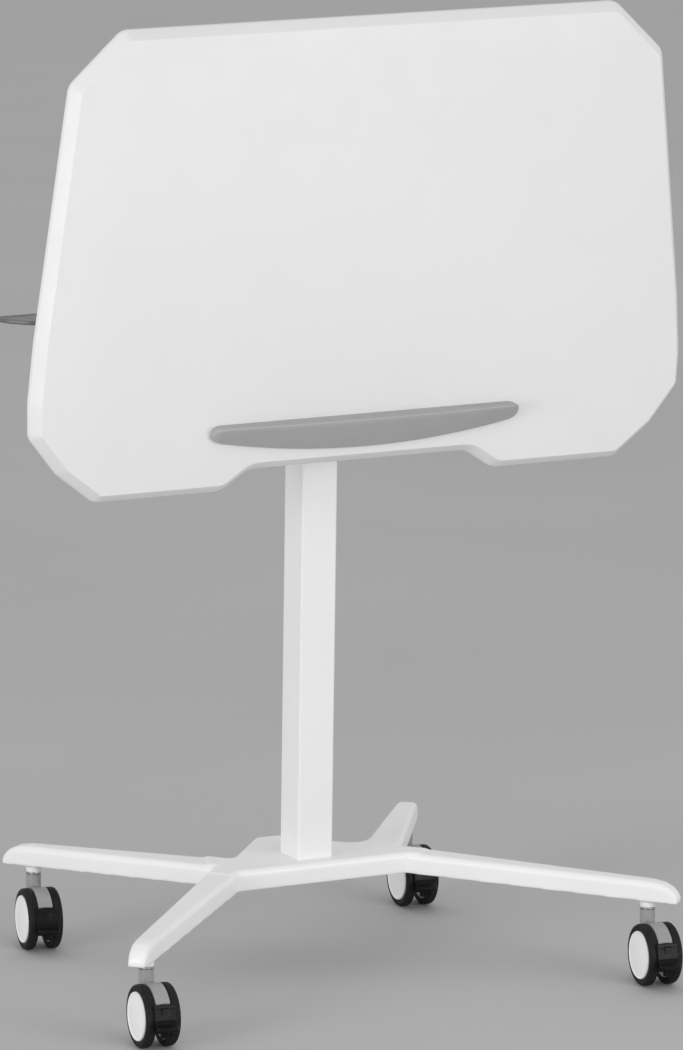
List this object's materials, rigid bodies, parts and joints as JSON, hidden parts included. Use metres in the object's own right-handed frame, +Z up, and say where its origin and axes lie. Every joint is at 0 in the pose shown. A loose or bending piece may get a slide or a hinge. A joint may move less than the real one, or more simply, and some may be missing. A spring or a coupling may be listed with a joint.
{
  "type": "portable drawing board",
  "caption": "Tilting drawing board with a ledge and belly notch on a height-adjustable column, standing on a splayed cast base with braked twin-wheel castors.",
  "frame": {"origin": "on the floor, under the column's axis", "axes": "+Z up, +X to the right of the user who faces the board, the user on the -Y side"},
  "size_m": [0.6968, 0.4674, 0.9421],
  "materials": {
    "casting_paint": "white powder coat over a light casting, satin",
    "column_paint": "white powder coat, satin",
    "bracket_paint": "white powder coat, satin",
    "board_foil": "fibreboard wrapped in matt white foil",
    "ledge_plastic": "mid-grey moulding, satin",
    "grip_plastic": "dark grey moulding, satin",
    "castor_grey": "satin grey nylon",
    "pedal_black": "black nylon",
    "disc_white": "white moulding, soft gloss",
    "tyre_dark": "soft dark grey tread",
    "black_nylon": "black nylon",
    "black_paint": "black enamel",
    "die_cast": "die-cast, tumbled",
    "steel": "zinc-plated steel"
  },
  "bodies": {
    "base": {"base_casting": "casting_paint", "stem_sockets": "black_nylon", "castor_stems": "steel", "foot_plate": "steel", "foot_screws": "steel", "outer_column": "column_paint", "column_collar": "column_paint", "gas_cylinder": "black_paint", "gas_rod_guide": "steel", "gas_spring_nut": "steel"},
    "lift": {"inner_column": "column_paint", "inner_glide": "black_nylon", "gas_rod": "steel", "head_bracket": "bracket_paint", "lever_block": "die_cast", "block_screws": "steel", "lever_pins": "steel", "tilt_shaft": "steel", "shaft_clips": "steel"},
    "release_pin": {"release_pin": "steel"},
    "height_lever": {"height_lever": "steel", "height_paddle": "grip_plastic"},
    "tilt_lever": {"tilt_lever": "steel", "tilt_paddle": "grip_plastic", "friction_shoe": "black_nylon"},
    "top": {"board": "board_foil", "ledge": "ledge_plastic", "ledge_screws": "steel", "tilt_bracket": "bracket_paint", "bracket_screws": "steel", "tilt_bushes": "black_nylon", "friction_sector": "steel"},
    "castor_front_left": {"fork_front_left": "castor_grey", "axle_front_left": "steel"},
    "pedal_front_left": {"pedal_front_left": "pedal_black"},
    "wheel_a_front_left": {"disc_a_front_left": "disc_white", "tyre_a_front_left": "tyre_dark"},
    "wheel_b_front_left": {"disc_b_front_left": "disc_white", "tyre_b_front_left": "tyre_dark"},
    "castor_front_right": {"fork_front_right": "castor_grey", "axle_front_right": "steel"},
    "pedal_front_right": {"pedal_front_right": "pedal_black"},
    "wheel_a_front_right": {"disc_a_front_right": "disc_white", "tyre_a_front_right": "tyre_dark"},
    "wheel_b_front_right": {"disc_b_front_right": "disc_white", "tyre_b_front_right": "tyre_dark"},
    "castor_rear_left": {"fork_rear_left": "castor_grey", "axle_rear_left": "steel"},
    "pedal_rear_left": {"pedal_rear_left": "pedal_black"},
    "wheel_a_rear_left": {"disc_a_rear_left": "disc_white", "tyre_a_rear_left": "tyre_dark"},
    "wheel_b_rear_left": {"disc_b_rear_left": "disc_white", "tyre_b_rear_left": "tyre_dark"},
    "castor_rear_right": {"fork_rear_right": "castor_grey", "axle_rear_right": "steel"},
    "pedal_rear_right": {"pedal_rear_right": "pedal_black"},
    "wheel_a_rear_right": {"disc_a_rear_right": "disc_white", "tyre_a_rear_right": "tyre_dark"},
    "wheel_b_rear_right": {"disc_b_rear_right": "disc_white", "tyre_b_rear_right": "tyre_dark"}
  },
  "joints": [
    {"name": "column_lift", "type": "slide", "parent": "base", "child": "lift", "axis": [0, 0, 1], "range_m": [0, 0.38]},
    {"name": "board_tilt", "type": "hinge", "parent": "lift", "child": "top", "pos_m": [0, -0.022, 0.688], "axis": [1, 0, 0], "range_deg": [-92.5, 0]},
    {"name": "height_lever_lift", "type": "hinge", "parent": "lift", "child": "height_lever", "pos_m": [-0.036, 0, 0.657], "axis": [0, 1, 0], "range_deg": [0, 5], "stiffness_Nm_per_rad": 3, "springref_deg": -8.59},
    {"name": "release_pin_press", "type": "slide", "parent": "lift", "child": "release_pin", "axis": [0, 0, -1], "range_m": [0, 0.0033]},
    {"name": "tilt_lever_lift", "type": "hinge", "parent": "lift", "child": "tilt_lever", "pos_m": [0.036, 0, 0.657], "axis": [0, -1, 0], "range_deg": [0, 5], "stiffness_Nm_per_rad": 3, "springref_deg": -8.59},
    {"name": "swivel_front_left", "type": "hinge", "parent": "base", "child": "castor_front_left", "pos_m": [-0.2703, -0.1947, 0.065], "axis": [0, 0, 1], "continuous": true},
    {"name": "brake_front_left", "type": "hinge", "parent": "castor_front_left", "child": "pedal_front_left", "pos_m": [-0.27504, -0.23694, 0.0427], "axis": [0.9938, -0.1115, 0], "range_deg": [-20, 0]},
    {"name": "roll_a_front_left", "type": "hinge", "parent": "castor_front_left", "child": "wheel_a_front_left", "pos_m": [-0.27264, -0.21557, 0.03], "axis": [0.9938, -0.1115, 0], "continuous": true},
    {"name": "roll_b_front_left", "type": "hinge", "parent": "castor_front_left", "child": "wheel_b_front_left", "pos_m": [-0.27264, -0.21557, 0.03], "axis": [0.9938, -0.1115, 0], "continuous": true},
    {"name": "swivel_front_right", "type": "hinge", "parent": "base", "child": "castor_front_right", "pos_m": [0.2703, -0.1947, 0.065], "axis": [0, 0, 1], "continuous": true},
    {"name": "brake_front_right", "type": "hinge", "parent": "castor_front_right", "child": "pedal_front_right", "pos_m": [0.26497, -0.23686, 0.0427], "axis": [0.9921, -0.1253, 0], "range_deg": [-20, 0]},
    {"name": "roll_a_front_right", "type": "hinge", "parent": "castor_front_right", "child": "wheel_a_front_right", "pos_m": [0.26767, -0.21553, 0.03], "axis": [0.9921, -0.1253, 0], "continuous": true},
    {"name": "roll_b_front_right", "type": "hinge", "parent": "castor_front_right", "child": "wheel_b_front_right", "pos_m": [0.26767, -0.21553, 0.03], "axis": [0.9921, -0.1253, 0], "continuous": true},
    {"name": "swivel_rear_left", "type": "hinge", "parent": "base", "child": "castor_rear_left", "pos_m": [-0.2064, 0.1787, 0.065], "axis": [0, 0, 1], "continuous": true},
    {"name": "brake_rear_left", "type": "hinge", "parent": "castor_rear_left", "child": "pedal_rear_left", "pos_m": [-0.21429, 0.13694, 0.0427], "axis": [0.9826, -0.1857, 0], "range_deg": [-20, 0]},
    {"name": "roll_a_rear_left", "type": "hinge", "parent": "castor_rear_left", "child": "wheel_a_rear_left", "pos_m": [-0.2103, 0.15807, 0.03], "axis": [0.9826, -0.1857, 0], "continuous": true},
    {"name": "roll_b_rear_left", "type": "hinge", "parent": "castor_rear_left", "child": "wheel_b_rear_left", "pos_m": [-0.2103, 0.15807, 0.03], "axis": [0.9826, -0.1857, 0], "continuous": true},
    {"name": "swivel_rear_right", "type": "hinge", "parent": "base", "child": "castor_rear_right", "pos_m": [0.2064, 0.1787, 0.065], "axis": [0, 0, 1], "continuous": true},
    {"name": "brake_rear_right", "type": "hinge", "parent": "castor_rear_right", "child": "pedal_rear_right", "pos_m": [0.20159, 0.13647, 0.0427], "axis": [0.9936, -0.1132, 0], "range_deg": [-20, 0]},
    {"name": "roll_a_rear_right", "type": "hinge", "parent": "castor_rear_right", "child": "wheel_a_rear_right", "pos_m": [0.20402, 0.15784, 0.03], "axis": [0.9936, -0.1132, 0], "continuous": true},
    {"name": "roll_b_rear_right", "type": "hinge", "parent": "castor_rear_right", "child": "wheel_b_rear_right", "pos_m": [0.20402, 0.15784, 0.03], "axis": [0.9936, -0.1132, 0], "continuous": true}
  ],
  "couplings": [
    {"joint": "release_pin_press", "follows": "height_lever_lift", "m_per_rad": 0.036}
  ]
}
